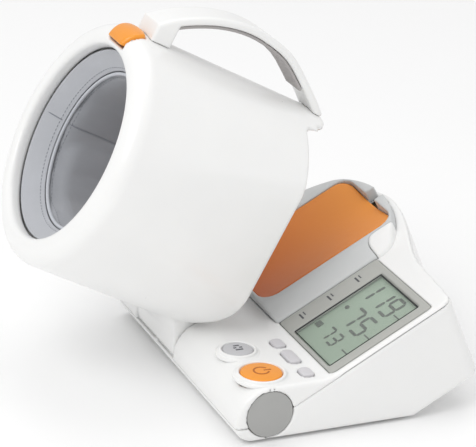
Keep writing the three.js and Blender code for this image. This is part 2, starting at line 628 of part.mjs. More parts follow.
// Handle: a bowed strip over the barrel with a soft strip under it.
// The bow's top line holds [length, height above the barrel] pairs.
const handleBow = [
  [HANDLE_FRONT, 11.2], [-124, 18.7], [-110.7, 25.7], [-93.8, 32.1], [-75.2, 35.7],
  [-56.3, 35.3], [-33.2, 29.9], [-13.1, 17.9], [3, 6.5], [10, 0.6],
];
const topCurve = new THREE.SplineCurve(handleBow.map(([l, h]) => new THREE.Vector2(l, BARREL_TOP + h)));
const topLine = topCurve.getPoints(22);
function offsetLine(line, distance) {
  return line.map((point, i) => {
    const before = line[Math.max(i - 1, 0)];
    const after = line[Math.min(i + 1, line.length - 1)];
    const along = after.clone().sub(before).normalize();
    return new THREE.Vector2(point.x + along.y * distance, point.y - along.x * distance);
  });
}
const pairs = (line) => line.map((p) => [p.x, p.y]);
function strip(near, far) {
  const upper = offsetLine(topLine, near);
  const lower = offsetLine(topLine, far);
  return outline([...pairs(lower), ...pairs(upper).reverse()]);
}
const handleBar = cut(
  join(
    solid(bar(strip(0, HANDLE_T), -HANDLE_W / 2, HANDLE_W / 2)),
    solid(block(-HANDLE_W / 2, HANDLE_W / 2, HANDLE_FRONT, HANDLE_FRONT + HANDLE_FOOT,
      BARREL_TOP - 6.3, BARREL_TOP + 12.7))),
  solid(drum(BARREL_R + GAP, ENTRY_L - 20, 80, 96)));
const handleRoom = solid(block(
  -HANDLE_W, HANDLE_W, HANDLE_FRONT - 6, HANDLE_REAR, AXIS_LIFT, TOP));
piece(barrel, 'handle', handleBar.intersect(handleRoom), 'shell');
const gripHalf = HANDLE_W / 2 - 2;
const gripTop = HANDLE_T + GAP;
const gripBand = solid(bar(strip(gripTop, gripTop + GRIP_T), -gripHalf, gripHalf));
const gripRoom = solid(block(
  -HANDLE_W, HANDLE_W, HANDLE_FRONT + HANDLE_FOOT + 1, HANDLE_REAR - 23, BARREL_TOP + 2.7, TOP));
piece(barrel, 'handle_grip', gripBand.intersect(gripRoom), 'grip');

piece(barrel, 'cuff_hose', tube([
  [22, -25, 16], [22, -34, 13.5], [20, -50, 13], [HOSE.x, -64, 15], [HOSE.x, HOSE.y, 20],
  [HOSE.x, HOSE.y, 28.6]], HOSE.r, 16), 'dark');

// Release: the button at the front pushes the rod, which lets the hook out of its catch.
const buttonTop = cut(
  solid(turned([
    [0, ENTRY_L + 3], [MOUTH_R + 5, ENTRY_L - 0.5],
    ...arcPoints(BARREL_R - RIM_ROUND, ENTRY_L + RIM_ROUND, RIM_ROUND + 1.6, 272, 345, 6),
    [BARREL_R + 1.2, ENTRY_L + 16.5], [0, ENTRY_L + 16.5]], 96)),
  solid(drum(BARREL_R - BUTTON_DROP + 2, ENTRY_L - 20, 0)));
const buttonPlan = solid(slab(outline([
  [-14, ENTRY_L + 12], [-13, ENTRY_L - 1], [-6, ENTRY_L - 8], [6, ENTRY_L - 8],
  [13, ENTRY_L - 1], [14, ENTRY_L + 12], [0, ENTRY_L + 13.5],
]), seatFloor + 1.4, TOP));
piece(barrel, 'release_button', buttonTop.intersect(buttonPlan), 'orange');
const rodFront = ENTRY_L + 14;
const rodRear = EXIT_L - 4;
const latchBar = (l0, l1, below, above) => block(
  -LATCH_HALF, LATCH_HALF, l0, l1, LATCH_Z - below, LATCH_Z + above);
piece(barrel, 'latch_rod', latchBar(rodFront, rodRear, LATCH_T, LATCH_T), 'metal');
const hook = join(
  solid(latchBar(rodRear + GAP, 5, LATCH_T, LATCH_T)),
  solid(latchBar(1, 5, 3 * LATCH_T, 0)));
piece(barrel, 'latch_hook', hook, 'dark');

// ---------------------------------------------------------------- stand it on z = 0
group.updateMatrixWorld(true);
const extent = new THREE.Box3().setFromObject(group, true);
group.position.set(-(extent.min.x + extent.max.x) / 2, -(extent.min.y + extent.max.y) / 2, -extent.min.z);
group.updateMatrixWorld(true);

export default group;
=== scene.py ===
"""Desktop arm-in blood pressure monitor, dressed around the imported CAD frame. Metres, row frame."""
import json
import math

import bmesh
import bpy
import numpy as np
from mathutils import Matrix, Vector
from mathutils.bvhtree import BVHTree


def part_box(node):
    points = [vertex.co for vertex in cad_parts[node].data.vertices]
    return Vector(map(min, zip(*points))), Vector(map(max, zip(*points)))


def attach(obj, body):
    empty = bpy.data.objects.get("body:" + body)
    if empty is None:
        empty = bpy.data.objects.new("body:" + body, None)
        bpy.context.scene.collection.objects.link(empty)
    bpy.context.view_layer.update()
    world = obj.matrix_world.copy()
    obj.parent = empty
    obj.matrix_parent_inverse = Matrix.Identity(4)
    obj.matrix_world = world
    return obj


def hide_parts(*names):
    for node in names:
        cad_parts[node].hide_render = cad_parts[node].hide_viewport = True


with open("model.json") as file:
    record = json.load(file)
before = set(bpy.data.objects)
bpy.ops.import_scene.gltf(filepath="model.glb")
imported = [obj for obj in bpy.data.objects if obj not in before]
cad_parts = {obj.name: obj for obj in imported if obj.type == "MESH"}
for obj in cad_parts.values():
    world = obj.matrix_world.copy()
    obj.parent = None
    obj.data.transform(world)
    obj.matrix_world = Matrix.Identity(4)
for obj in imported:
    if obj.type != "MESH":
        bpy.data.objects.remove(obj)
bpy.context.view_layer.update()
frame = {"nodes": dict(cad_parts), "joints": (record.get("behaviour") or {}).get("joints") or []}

# ---------------------------------------------------------------- sizes, in millimetres
MM = 0.001
BARREL_R = 86.3
LIFT = BARREL_R + 1.7                  # barrel's axis above the tilt axis
ENTRY_L = -150.0                       # lengths run along the barrel's axis from the tilt axis
EXIT_L = -11.0
RIM_ROUND = 12.0
MOUTH_R = 68.5
FACET_L = -107.0                       # the flat flanks start here
FACET_SLOPE = math.radians(6.9)
SHELL_T = 3.0
SEAT_FLOOR = LIFT + 72.5               # under the release button
TONGUE_HALF = 36.5
TONGUE_L = 10.0
CUFF_R = 51.0
WELT_L = -127.0                        # where the collar meets the cuff
SEAM = math.radians(271.0)             # the lengthwise seam, from the top round to the right
KNUCKLE_R = 23.4
KNUCKLE_HALF = 34.5
KNUCKLE_TOP = 85.0                     # angles about the tilt axis, in degrees, on the barrel
LIP = 223.6
SKIRT_END = 257.6
SKIRT_R = 20.3
CORE_R = 14.3
SHAFT_ROOM = 5.6
POCKET_HALF = KNUCKLE_HALF + 1.0
POCKET_R = KNUCKLE_R + 1.8
HANDLE_FRONT = -134.0
HANDLE_FOOT = 15.5
HANDLE_REAR = 9.0
HANDLE_HALF = 14.0
HANDLE_T = 5.6
GRIP_T = 2.2
DECK_DROP = 3.3
DECK_Z = 19.0
BOTTOM_Z = -18.0
CASE_T = 2.6
CASE_RIGHT = 147.4
CASE_LEFT = -72.0
CASE_REAR = 145.6
CRADLE_R = 82.0
CASE_DEPTH = 63.0
NOSE_R = 24.0
PART_Z = -8.0                          # parting surface in front
PART_DROP = 5.7                        # and under the deck
PART_GAP = 0.25
WALL_LEAN = math.radians(24.0)
DECK = math.radians(28.5)
CAP_R = 16.2
JACK = (97.0, -34.5, 5.4)              # x, height square to the wall, radius
LATCH_S = 162.3                        # slot for the latch, up the deck
CRADLE_RIGHT = 59.0
CRADLE_FRONT = 46.5
CRADLE_TOP = 6.0
BLOCK_CORNER = (42.0, 131.0)           # the white block starts here, across and up the deck
ELBOW = (0.0, 104.0, 39.5, 54.0, 12.0)         # centre, half sizes and corner radius
DISPLAY = (100.4, 88.95, 41.5, 40.45)          # centre and half sizes
OPENING = (105.25, 87.75, 28.25, 35.75)
START = (125.8, 1.7, 14.0)             # x, y, radius
MEMORY = (88.8, 0.6, 10.3)
KEY_TOP = 2.9                          # round keys above the deck
KEY_DEPTH = 8.0
SMALL_Y = 31.0
SMALL_HALF_Y = 4.2
SMALL_KEYS = (("history", 86.2, 6.0), ("select", 107.7, 9.5), ("clock", 132.2, 6.0))

# ---------------------------------------------------------------- frames
joints = {j["name"]: j for j in frame["joints"]}
PIVOT = Vector(joints["barrel_tilt"]["pos_m"])
press = joints["release_press"]["axis"]
TILT = math.atan2(-press[2], press[1])


def place(angle):
    """Millimetres from the tilt axis, turned about it, to the row frame in metres."""
    return Matrix.Translation(PIVOT) @ Matrix.Rotation(angle, 4, "X") @ Matrix.Scale(MM, 4)


BASE = place(0.0)
ON_BARREL = place(-TILT)
ON_DECK = place(DECK)

# ---------------------------------------------------------------- camera
camera_data = bpy.data.cameras.new("camera")
camera_data.sensor_width = 36.0
camera_data.lens = 182.8
camera_data.clip_end = 50.0
camera = bpy.data.objects.new("camera", camera_data)
bpy.context.collection.objects.link(camera)
right = Vector((0.38836, 0.92053, 0.04228))
up = Vector((-0.36586, 0.11192, 0.92392))
ahead = Vector((-0.84577, 0.37427, -0.38026))
turn = Matrix((right, up, -ahead)).transposed().to_4x4()
camera.matrix_world = Matrix.Translation(PIVOT + Vector((1.419, -0.592, 0.7097))) @ turn
bpy.context.scene.camera = camera


# ---------------------------------------------------------------- materials
class Nodes:
    """A short way to write a node tree."""

    def __init__(self, name):
        self.material = bpy.data.materials.new(name)
        self.material.use_nodes = True
        self.tree = self.material.node_tree
        self.shader = self.tree.nodes["Principled BSDF"]
        self.coords = self.add("ShaderNodeTexCoord").outputs["Object"]

    def add(self, kind, **inputs):
        node = self.tree.nodes.new(kind)
        for key, value in inputs.items():
            self.feed(node.inputs[key.replace("_", " ")], value)
        return node

    def feed(self, socket, value):
        if isinstance(value, bpy.types.NodeSocket):
            self.tree.links.new(value, socket)
        else:
            socket.default_value = value

    def math(self, operation, *values):
        node = self.tree.nodes.new("ShaderNodeMath")
        node.operation = operation
        for socket, value in zip(node.inputs, values):
            self.feed(socket, value)
        return node.outputs[0]

    def noise(self, scale, detail=2.0):
        node = self.add("ShaderNodeTexNoise", Vector=self.coords, Scale=scale, Detail=detail)
        return node.outputs["Fac"]

    def ramp(self, factor, low, high, start=0.3, end=0.7):
        node = self.add("ShaderNodeValToRGB", Fac=factor)
        node.color_ramp.elements[0].position = start
        node.color_ramp.elements[1].position = end
        node.color_ramp.elements[0].color = (*low, 1)
        node.color_ramp.elements[1].color = (*high, 1)
        return node.outputs["Color"]

    def span(self, factor, low, high):
        node = self.add("ShaderNodeMapRange", Value=factor)
        node.inputs["To Min"].default_value = low
        node.inputs["To Max"].default_value = high
        return node.outputs["Result"]

    def bump(self, height, strength, distance, under=None):
        node = self.add("ShaderNodeBump", Height=height, Strength=strength, Distance=distance)
        if under is not None:
            self.feed(node.inputs["Normal"], under)
        return node.outputs["Normal"]

    def set(self, **inputs):
        for key, value in inputs.items():
            self.feed(self.shader.inputs[key.replace("_", " ")], value)
        return self.material


def linear(hex_colour):
    """An sRGB hex colour as linear red, green and blue."""
    parts = [int(hex_colour[i:i + 2], 16) / 255 for i in (1, 3, 5)]
    return tuple(c / 12.92 if c < 0.04045 else ((c + 0.055) / 1.055) ** 2.4 for c in parts)


def tint(colour, amount):
    return tuple(min(1.0, c * amount) for c in colour)


def plastic(name, colour, rough, grain=0.25, vary=0.04, coat=0.0, sub=0.0):
    """Moulded plastic: a fine spark-eroded grain, faint flow marks and slightly uneven gloss."""
    n = Nodes(name)
    base = linear(colour)
    broad = n.noise(18.0, 3.0)
    fine = n.noise(2600.0, 2.0)
    scuff = n.noise(240.0, 4.0)
    n.set(Base_Color=n.ramp(broad, tint(base, 1 - vary), tint(base, 1 + vary * 0.4)))
    n.set(Roughness=n.span(scuff, rough - 0.06, rough + 0.08))
    soft = n.bump(n.noise(9.0, 1.0), 0.05, 0.002)
    n.set(Normal=n.bump(fine, grain, 0.00006, soft))
    n.set(Coat_Weight=coat, Coat_Roughness=0.12, IOR=1.49)
    if sub:
        n.set(Subsurface_Weight=sub, Subsurface_Radius=(0.004, 0.0038, 0.0034), Subsurface_Scale=0.6)
    return n.material


def barrel_uv(n):
    """Arc length round the barrel and length along it, in metres, from a point in the row frame."""
    shift = n.add("ShaderNodeVectorMath")
    shift.operation = "SUBTRACT"
    n.feed(shift.inputs[0], n.coords)
    n.feed(shift.inputs[1], tuple(PIVOT))
    spin = n.add("ShaderNodeVectorRotate")
    spin.rotation_type = "X_AXIS"
    n.feed(spin.inputs["Vector"], shift.outputs[0])
    n.feed(spin.inputs["Angle"], TILT)
    split = n.add("ShaderNodeSeparateXYZ")
    n.feed(split.inputs[0], spin.outputs[0])
    height = n.math("SUBTRACT", split.outputs["Z"], LIFT * MM)
    angle = n.math("ARCTAN2", split.outputs["X"], height)
    return n.math("MULTIPLY", angle, CUFF_R * MM), split.outputs["Y"]


def cloth_material(name, colour, pitch=0.00085, weave=0.5, vary=0.08):
    """Brushed nylon tricot: a fine woven relief, soft blotches where the nap lies over, and a sheen."""
    n = Nodes(name)
    base = linear(colour)
    around, along = barrel_uv(n)
    waves = [n.math("SINE", n.math("MULTIPLY", t, 2 * math.pi / pitch)) for t in (around, along)]
    relief = n.math("MULTIPLY_ADD", n.math("MULTIPLY", waves[0], waves[1]), 0.5, 0.5)
    nap = n.noise(26.0, 5.0)
    fuzz = n.noise(1900.0, 3.0)
    n.set(Base_Color=n.ramp(nap, tint(base, 1 - vary), tint(base, 1 + vary), 0.25, 0.75))
    n.set(Roughness=n.span(fuzz, 0.84, 0.98), Sheen_Weight=0.35, Sheen_Roughness=0.55)
    slack = n.bump(n.noise(48.0, 3.0), 0.22, 0.0012)
    n.set(Normal=n.bump(fuzz, 0.3, 0.0003, n.bump(relief, weave, 0.00022, slack)))
    return n.material


def metal(name, colour, rough):
    n = Nodes(name)
    base = linear(colour)
    brushed = n.noise(700.0, 6.0)
    n.set(Base_Color=n.ramp(n.noise(60.0, 3.0), tint(base, 0.85), base))
    n.set(Roughness=n.span(brushed, rough, rough + 0.2), Metallic=1.0)
    n.set(Normal=n.bump(brushed, 0.2, 0.00005))
    return n.material


def elbow_material(name):
    """Orange rest: painted shade, darker towards the front where the barrel shades it, with a soft-touch
    grain.
    """
    n = Nodes(name)
    split = n.add("ShaderNodeSeparateXYZ")
    n.feed(split.inputs[0], n.coords)
    low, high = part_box("elbow_rest")
    reach = n.add("ShaderNodeMapRange", Value=split.outputs["Y"])
    reach.inputs["From Min"].default_value = low.y
    reach.inputs["From Max"].default_value = high.y
    # painted shade: the orange darkens towards the front of the rest
    n.set(Base_Color=n.ramp(reach.outputs[0], linear("#cf6420"), linear("#f0962f"), 0.0, 1.0))
    n.set(Roughness=n.span(n.noise(300.0, 3.0), 0.36, 0.5))
    n.set(Normal=n.bump(n.noise(2200.0, 2.0), 0.25, 0.00008), Coat_Weight=0.1, Coat_Roughness=0.3)
    return n.material


def lcd_material(name):
    n = Nodes(name)
    base = linear("#93a894")
    dots = n.noise(3500.0, 1.0)
    n.set(Base_Color=n.ramp(n.noise(14.0, 2.0), tint(base, 0.93), tint(base, 1.07)))
    n.set(Roughness=n.span(dots, 0.3, 0.42), Normal=n.bump(dots, 0.1, 0.00004))
    return n.material


def glass_material(name):
    n = Nodes(name)
    smear = n.noise(40.0, 4.0)
    n.set(Base_Color=n.ramp(smear, (0.80, 0.84, 0.80), (0.86, 0.90, 0.86)))
    n.set(Roughness=n.span(smear, 0.03, 0.09), Alpha=0.10, IOR=1.5)
    return n.material


MATS = {
    "shell": plastic("shell_white", "#f3f3f2", 0.30, 0.12, 0.02, coat=0.25, sub=0.08),
    "cover": plastic("cover_white", "#f1f1f0", 0.34, 0.14, 0.02, coat=0.2, sub=0.08),
    "cap": plastic("cap_grey", "#a9a9a7", 0.45, 0.4, 0.05),
    "orange": plastic("key_orange", "#f39a26", 0.36, 0.25, 0.05, coat=0.2),
    "orange_dark": plastic("key_orange_mark", "#b5651a", 0.5, 0.3, 0.08),
    "elbow": elbow_material("elbow_orange"),
    "bezel": plastic("bezel_silver", "#b1b2ad", 0.38, 0.45, 0.04),
    "glass": glass_material("window"),
    "lcd": lcd_material("lcd_green"),
    "digit": plastic("lcd_ink", "#27352c", 0.5, 0.1, 0.1),
    "key": plastic("key_grey", "#d3d1d4", 0.42, 0.3, 0.04),
    "key_dark": plastic("key_memory", "#c3c3c6", 0.45, 0.4, 0.05),
    "ink": plastic("print_grey", "#55565a", 0.6, 0.2, 0.1),
    "grip": plastic("grip_grey", "#aeaaa9", 0.68, 0.8, 0.06),
    # flank grey is painted shade: a darker copy of the white cover for the cradle strip that faces away from
    # the light beside the barrel
    "flank": plastic("flank_painted_shade_grey", "#cfd1d1", 0.5, 0.5, 0.03),
    "fabric": cloth_material("cuff_tricot", "#a4a6ab"),
    "collar": cloth_material("collar_tricot", "#b9bbc0", 0.0007, 0.3, 0.05),
    "piping": cloth_material("piping_tricot", "#c6c9cf", 0.0009, 0.6, 0.05),
    "thread": cloth_material("seam_thread", "#8c8f97", 0.0006, 0.8, 0.1),
    "rubber": plastic("foot_rubber", "#39393b", 0.8, 0.8, 0.12),
    "metal": metal("bright_steel", "#b9bbbe", 0.28),
    "board": plastic("circuit_green", "#2f6b45", 0.5, 0.6, 0.15),
    "dark": plastic("dark_plastic", "#2a2b2d", 0.55, 0.6, 0.12),
}


# ---------------------------------------------------------------- mesh tools
def add_piece(name, verts, faces, where, body, mat, smooth=True, nodes=()):
    """A mesh in the given frame's millimetres becomes a piece that rides on a body."""
    points = np.asarray(verts, float)
    matrix = np.array(where)
    points = points @ matrix[:3, :3].T + matrix[:3, 3]
    mesh = bpy.data.meshes.new(name)
    mesh.from_pydata(points.tolist(), [], faces.tolist() if isinstance(faces, np.ndarray) else faces)
    mesh.update()
    if smooth:
        mesh.shade_smooth()
    mesh.materials.append(MATS[mat])
    obj = bpy.data.objects.new(name, mesh)
    bpy.context.collection.objects.link(obj)
    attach(obj, body)
    if nodes:
        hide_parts(*nodes)
    return obj


def rmax(a, b, r):
    """Both fields, with their outside edge rounded to radius r."""
    inset_a = a + r
    inset_b = b + r
    return np.minimum(np.maximum(inset_a, inset_b), 0) + np.hypot(
        np.maximum(inset_a, 0), np.maximum(inset_b, 0)) - r


def rmin(a, b, r):
    """Either field, with their inside corner filled to radius r."""
    return -rmax(-a, -b, r)


def box2(a, b, ca, cb, ha, hb, r):
    return rmax(np.abs(a - ca) - ha, np.abs(b - cb) - hb, r)


CORNERS = [(i, j, k) for i in (0, 1) for j in (0, 1) for k in (0, 1)]
EDGES = [(a, b) for a in CORNERS for b in CORNERS
         if sum(b) - sum(a) == 1 and all(p <= q for p, q in zip(a, b))]
NET_MARGIN = 1.7                       # in grid steps
NEWTON_STEPS = 4


def surface_net(field, low, high, step):
    """Quads round the zero level of a field sampled on a grid, each point then moved on to the level."""
    low = np.asarray(low, float)
    margin = NET_MARGIN * step
    axes = [np.arange(low[i] - margin, high[i] + margin, step) for i in range(3)]
    origin = np.array([a[0] for a in axes])
    values = field(*[g.astype(np.float32) for g in np.meshgrid(*axes, indexing="ij")])
    inside = values < 0
    nx, ny, nz = (s - 1 for s in inside.shape)
    count = np.zeros((nx, ny, nz), np.uint8)
    for i, j, k in CORNERS:
        count += inside[i:nx + i, j:ny + j, k:nz + k]
    active = (count > 0) & (count < 8)
    index = np.full(active.shape, -1, np.int64)
    index[active] = np.arange(active.sum())
    cells = np.argwhere(active)
    total = np.zeros((len(cells), 3))
    hits = np.zeros(len(cells))
    for a, b in EDGES:
        fa = values[tuple((cells + a).T)]
        fb = values[tuple((cells + b).T)]
        cross = (fa < 0) != (fb < 0)
        t = fa[cross] / (fa[cross] - fb[cross])
        total[cross] += cells[cross] + np.array(a) + t[:, None] * (np.array(b) - np.array(a))
        hits[cross] += 1
    points = origin + step * total / hits[:, None]
    quads = []
    for axis in range(3):
        u = (axis + 1) % 3
        v = (axis + 2) % 3
        first = np.take(inside, range(inside.shape[axis] - 1), axis)
        second = np.take(inside, range(1, inside.shape[axis]), axis)
        starts = np.argwhere(first != second)
        keep = np.all(starts[:, [u, v]] > 0, 1) & (starts[:, u] < inside.shape[u] - 1) & (
            starts[:, v] < inside.shape[v] - 1)
        starts = starts[keep]
        outward = first[tuple(starts.T)]
        ring = []
        for du, dv in ((1, 1), (0, 1), (0, 0), (1, 0)):
            cell = starts.copy()
            cell[:, u] -= du
            cell[:, v] -= dv
            ring.append(index[tuple(cell.T)])
        quad = np.stack(ring, 1)
        quad[~outward] = quad[~outward][:, ::-1]
        quads.append(quad)
    reach = 0.02 * step
    for _ in range(NEWTON_STEPS):
        x, y, z = points.T
        here = field(x, y, z)
        grad = np.stack([
            field(x + reach, y, z) - field(x - reach, y, z),
            field(x, y + reach, z) - field(x, y - reach, z),
            field(x, y, z + reach) - field(x, y, z - reach)], 1) / (2 * reach)
        size = np.maximum((grad ** 2).sum(1), 0.25)
        move = -(here / size)[:, None] * grad
        length = np.maximum(np.linalg.norm(move, axis=1), 1e-9)
        points = points + move * np.minimum(1.0, 0.5 * step / length)[:, None]
    return points, np.concatenate(quads)


def moulded(name, field, low, high, step, where, body, mat, nodes=()):
    points, quads = surface_net(field, low, high, step)
    return add_piece(name, points, quads, where, body, mat, True, nodes)


def prism(outlines, h0, h1):
    """Flat closed outlines of (a, b) points, each raised from h0 to h1."""
    verts = []
    faces = []
    for line in outlines:
        start = len(verts)
        n = len(line)
        verts += [(a, b, h0) for a, b in line] + [(a, b, h1) for a, b in line]
        faces.append(list(range(start + n - 1, start - 1, -1)))
        faces.append(list(range(start + n, start + 2 * n)))
        faces += [[start + i, start + (i + 1) % n, start + n + (i + 1) % n, start + n + i] for i in range(n)]
    return verts, faces


def sweep(path, section):
    """A section of (side, out) points carried round a closed path of (point, side axis, out axis)."""
    verts = []
    faces = []
    m = len(section)
    for point, side, out in path:
        verts += [np.array(point) + a * np.array(side) + b * np.array(out) for a, b in section]
    for i in range(len(path)):
        j = (i + 1) % len(path)
        for k in range(m):
            q = (k + 1) % m
            faces.append([i * m + k, i * m + q, j * m + q, j * m + k])
    return verts, faces


def circle(r, n):
    return [(r * math.cos(2 * math.pi * i / n), r * math.sin(2 * math.pi * i / n)) for i in range(n)]


# ---------------------------------------------------------------- barrel shell and knuckle
def facet(x, l):
    return (np.abs(x) - BARREL_R + (l - FACET_L) * math.tan(FACET_SLOPE)) * math.cos(FACET_SLOPE)


def from_axis(x, n):
    return np.hypot(x, n - LIFT)


def barrel_outer(x, l, n):
    side = rmax(from_axis(x, n) - BARREL_R, facet(x, l), 4.0)
    return rmax(side, ENTRY_L - l, RIM_ROUND)


def rear_keep(x, l, n):
    """Where the barrel ends: a square exit rim, a slope over the hinge, and the tongue on top."""
    slope = (l - EXIT_L) * 0.823 - (n - 26.0) * 0.568
    plane = rmax(l - EXIT_L, slope, 5.0)
    half = TONGUE_HALF - (l - EXIT_L) * 0.571
    tongue = np.maximum(rmax((np.abs(x) - half) * 0.87, l - TONGUE_L, 6.0), LIFT + 40.0 - n)
    return rmin(plane, tongue, 5.0)


def button_plan(x, l):
    """Plan of the release button: tapered in front, bowed behind."""
    sides = np.abs(x) - 14.0 + np.maximum(0.0, ENTRY_L + 4.0 - l) * 0.35
    return rmax(rmax(sides, ENTRY_L - 7.0 - l, 6.0), l - ENTRY_L - 13.5 + x * x * 0.008, 3.5)


def sector(l, n, r, start, end):
    """A round sector about the tilt axis, from one angle to another, in degrees from +l over the top."""
    a = math.radians(start)
    b = math.radians(end)
    after = math.cos(a) * n - math.sin(a) * l
    before = l * math.sin(b) - n * math.cos(b)
    return np.maximum(np.hypot(l, n) - r, np.maximum(-after, -before))


def barrel_skin(x, l, n):
    """Barrel wall and hinge knuckle in one, with room for the shaft and the release button."""
    outer = barrel_outer(x, l, n)
    radius = from_axis(x, n)
    reach = np.hypot(l, n)
    knuckle = np.abs(x) - KNUCKLE_HALF
    lobe = rmin(outer, reach - KNUCKLE_R, 17.0)
    front = np.maximum(np.maximum(lobe, l), knuckle)
    behind_lip = sector(l, n, 300.0, LIP, 300.0)
    front = np.maximum(np.maximum(front, -behind_lip), BARREL_R - radius - 2.0)
    rear = np.minimum(sector(l, n, KNUCKLE_R, KNUCKLE_TOP, LIP), sector(l, n, SKIRT_R, LIP - 4.6, SKIRT_END))
    rear = np.maximum(rear, knuckle)
    core = np.maximum(reach - CORE_R, knuckle)
    cavity = rmax(radius - BARREL_R + SHELL_T, facet(x, l) + SHELL_T, 3.0)
    cavity = rmax(cavity, ENTRY_L + 11.0 - l, 5.0)
    body = np.maximum(rmax(outer, rear_keep(x, l, n), 1.6), -cavity)
    solid = np.minimum(np.minimum(body, front), np.minimum(rear, core))
    solid = rmax(solid, MOUTH_R - radius, 4.0)
    solid = np.where(reach < 40.0, np.maximum(solid, SHAFT_ROOM - reach), solid)
    seat = np.maximum(button_plan(x, l) - 0.7, SEAT_FLOOR - n)
    return np.maximum(solid, -seat)


moulded("barrel_skin", barrel_skin, (-87, -151, -24), (87, 11, 176), 1.6, ON_BARREL,
        "barrel", "shell", ["barrel_shell", "hinge_knuckle"])


def release_field(x, l, n):
    cap = np.maximum(barrel_outer(x, l, n) - 1.7, SEAT_FLOOR + 1.9 - n)
    return rmax(cap, button_plan(x, l), 1.8)


moulded("release_cap", release_field, (-16, -159, 160), (16, -134, 178), 0.55, ON_BARREL,
        "release", "orange", ["release_button"])


# ---------------------------------------------------------------- handle
HANDLE_POINTS = [(HANDLE_FRONT, 97.5), (-124.0, 105.0), (-110.7, 112.0), (-93.8, 118.4), (-75.2, 122.0),
                 (-56.3, 121.6), (-33.2, 116.2), (-13.1, 104.2), (3.0, 92.8), (10.0, 86.9)]


def spline(points, per):
    """Catmull-Rom curve through points."""
    p = np.array([points[0], *points, points[-1]], float)
    out = []
    for i in range(1, len(p) - 2):
        for t in np.linspace(0, 1, per, endpoint=False):
            a, b, c, d = p[i - 1], p[i], p[i + 1], p[i + 2]
            out.append(0.5 * (2 * b + (c - a) * t + (2 * a - 5 * b + 4 * c - d) * t * t
                              + (3 * b - a - 3 * c + d) * t ** 3))
    out.append(p[-2])
    return np.array(out)


HANDLE_LINE = spline(HANDLE_POINTS, 3) + np.array([0.0, LIFT])


def line_field(l, n, line):
    """Signed distance to a line of points, negative on its lower side."""
    best = np.full(np.shape(l), 1e9)
    signed = np.zeros(np.shape(l))
    for (l0, n0), (l1, n1) in zip(line[:-1], line[1:]):
        dl, dn = l1 - l0, n1 - n0
        t = np.clip(((l - l0) * dl + (n - n0) * dn) / (dl * dl + dn * dn), 0, 1)
        el, en = l - l0 - t * dl, n - n0 - t * dn
        dist = np.hypot(el, en)
        side = np.where(dl * en - dn * el > 0, 1.0, -1.0)
        nearer = dist < best
        best = np.where(nearer, dist, best)
        signed = np.where(nearer, dist * side, signed)
    return signed


def handle_field(x, l, n):
    top = line_field(l, n, HANDLE_LINE)
    front = HANDLE_FRONT - l
    band = rmax(top, -top - HANDLE_T, 1.0)
    band = np.maximum(np.maximum(band, front), l - HANDLE_REAR)
    foot = rmax(front, l - HANDLE_FRONT - HANDLE_FOOT, 1.5)
    foot = np.maximum(np.maximum(foot, top + 2.0), LIFT + 78.0 - n)
    whole = rmax(np.minimum(band, foot), np.abs(x) - HANDLE_HALF, 2.2)
    return np.maximum(whole, BARREL_R + 0.25 - from_axis(x, n))


moulded("handle_arch", handle_field, (-HANDLE_HALF, HANDLE_FRONT, LIFT + 78),
        (HANDLE_HALF, HANDLE_REAR, LIFT + 123), 0.9, ON_BARREL, "barrel", "shell", ["handle"])


def grip_field(x, l, n):
    top = line_field(l, n, HANDLE_LINE) + HANDLE_T + 0.3
    band = rmax(rmax(top, -top - GRIP_T, 0.8), np.abs(x) - HANDLE_HALF + 2.0, 1.0)
    band = np.maximum(np.maximum(band, -120.5 - l), l + 14.0)
    return np.maximum(band, LIFT + 89.0 - n)


moulded("handle_pad", grip_field, (-12, -121, LIFT + 85), (12, -13, LIFT + 120), 0.8, ON_BARREL,
        "barrel", "grip", ["handle_grip"])


# ---------------------------------------------------------------- case
def depth_of(y, z):
    return -y * math.sin(DECK) + z * math.cos(DECK)


def along_wall(y, z):
    return y * math.cos(WALL_LEAN) + z * math.sin(WALL_LEAN)


def case_body(x, y, z):
    h = depth_of(y, z)
    q = along_wall(y, z)
    front = -NOSE_R - y
    top = rmin(z - DECK_Z, h + DECK_DROP, 4.0)
    side = np.maximum(rmax(front, top, NOSE_R), rmax(front, BOTTOM_Z - z, 13.0))
    side = rmax(side, -(h + DECK_DROP + CASE_DEPTH), 1.5)
    disc = np.hypot(x, q - LIFT) - CRADLE_R
    rear_edge = q - CASE_REAR - (118.0 - x) * 0.085
    right_wing = rmax(rmax(-x, x - CASE_RIGHT, 1.0), rear_edge, 8.0)
    left_wing = rmax(CASE_LEFT - x, np.maximum(x, q - 80.0), 1.0)
    plan = np.minimum(rmin(disc, right_wing, 26.0), left_wing)
    return rmax(side, plan, 3.0)


def pocket_field(x, y, z):
    """Room for the knuckle, open to the front and the top."""
    reach = np.hypot(y, z)
    lobe = sector(y, z, POCKET_R, 0.0, 179.0)
    lobe = np.minimum(lobe, sector(y, z, POCKET_R, 150.0, 198.0))
    skirt = sector(y, z, SKIRT_R + 1.0, 190.0, 234.0)
    hollow = np.minimum(np.minimum(lobe, skirt), reach - CORE_R - 1.0)
    front = np.maximum(y, -6.0 - z)
    over = np.maximum(y - 16.0, 4.0 - z)
    hollow = np.minimum(hollow, np.minimum(front, over))
    return np.maximum(hollow, np.abs(x) - POCKET_HALF)


def cradle_plan(x, s):
    disc = np.hypot(x, s - LIFT) - CRADLE_R + 3.0
    return rmax(rmax(disc, x - CRADLE_RIGHT, 4.0), CRADLE_FRONT - s, 4.0)


def latch_slot(x, s):
    return np.maximum(np.abs(x) - 7.0, np.abs(s - LATCH_S) - 5.3)


def deck_s(y, z):
    return y * math.cos(DECK) + z * math.sin(DECK)


def round_button(x, y, spec, grow):
    return np.hypot(x - spec[0], y - spec[1]) - spec[2] - grow


